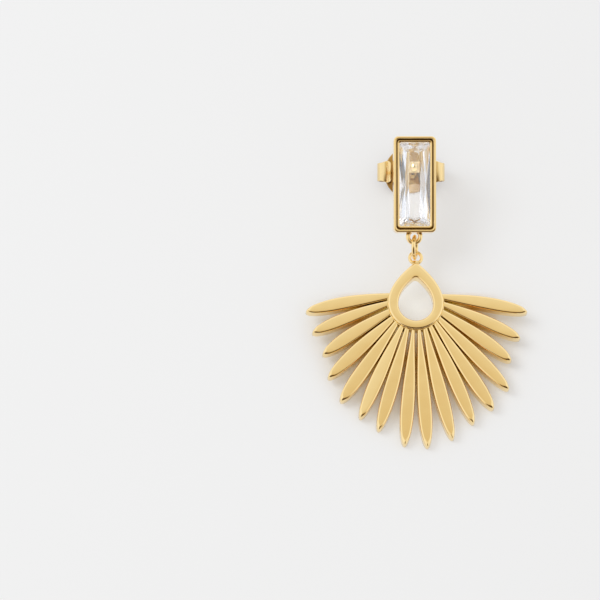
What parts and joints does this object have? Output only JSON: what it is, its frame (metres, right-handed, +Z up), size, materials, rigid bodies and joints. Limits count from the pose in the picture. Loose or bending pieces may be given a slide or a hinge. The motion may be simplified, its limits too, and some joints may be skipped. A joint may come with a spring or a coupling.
{
  "type": "statement earring",
  "caption": "Drop earring with a long baguette-cut crystal stud, a jump ring and a broad fan of flat leaf petals round an open teardrop.",
  "frame": {"origin": "middle of the bounding box, at the table that the earring lies on", "axes": "+Y from the petal tips to the stud, +Z up from the table"},
  "size_m": [0.0296, 0.0434, 0.0122],
  "materials": {
    "gold": "polished gold plate",
    "crystal": "clear, faceted"
  },
  "bodies": {
    "ear_nut": {"ear_nut": "gold"},
    "earring": {"setting": "gold", "crystal": "crystal", "jump_ring": "gold", "fan_drop": "gold"}
  },
  "joints": [
    {"name": "ear_nut_slide", "type": "slide", "parent": "ear_nut", "child": "earring", "axis": [0, -0.3746, 0.9272], "range_m": [0, 0.0095]}
  ]
}
